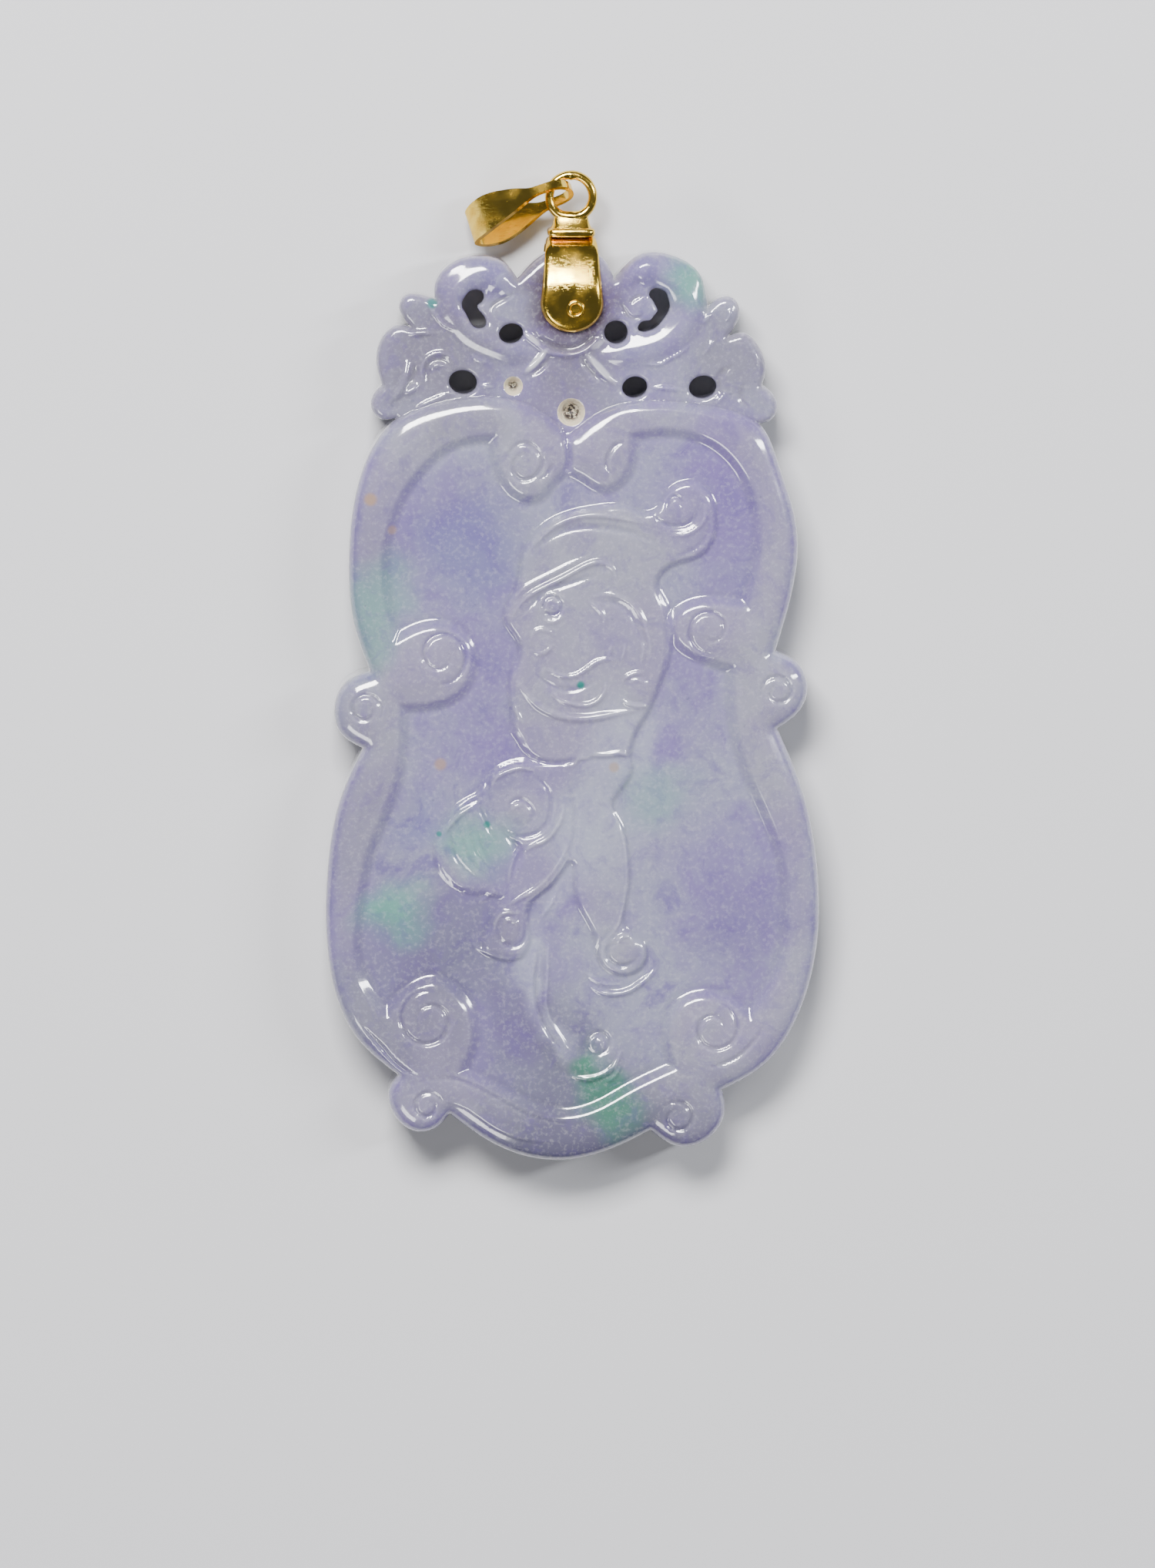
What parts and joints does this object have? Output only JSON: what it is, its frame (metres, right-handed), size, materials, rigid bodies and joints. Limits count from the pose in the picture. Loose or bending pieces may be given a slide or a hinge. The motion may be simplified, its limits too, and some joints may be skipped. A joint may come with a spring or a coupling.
{
  "type": "carved stone pendant",
  "caption": "Openwork carved stone plaque pendant with a raised rim, a beast in relief, a gold clip with a ring and a loose flared bail",
  "frame": {"origin": "on the plaque's flat back face, on its centre line and level with its waist", "axes": "+X to the viewer's right, +Y up the plaque towards the bail, +Z out of the carved front"},
  "size_m": [0.032, 0.0643, 0.0051],
  "materials": {
    "jade": "polished translucent lavender jadeite with green patches",
    "gold": "polished yellow gold with fine wear scratches"
  },
  "bodies": {
    "plaque": {"jade_plaque": "jade", "gold_clip": "gold", "rivet": "gold"},
    "bail": {"bail": "gold"}
  },
  "joints": [
    {"name": "bail_swing", "type": "hinge", "parent": "plaque", "child": "bail", "pos_m": [0.0001, 0.03205, 0.00255], "axis": [0, 0, 1], "range_deg": [-175, 0]}
  ]
}
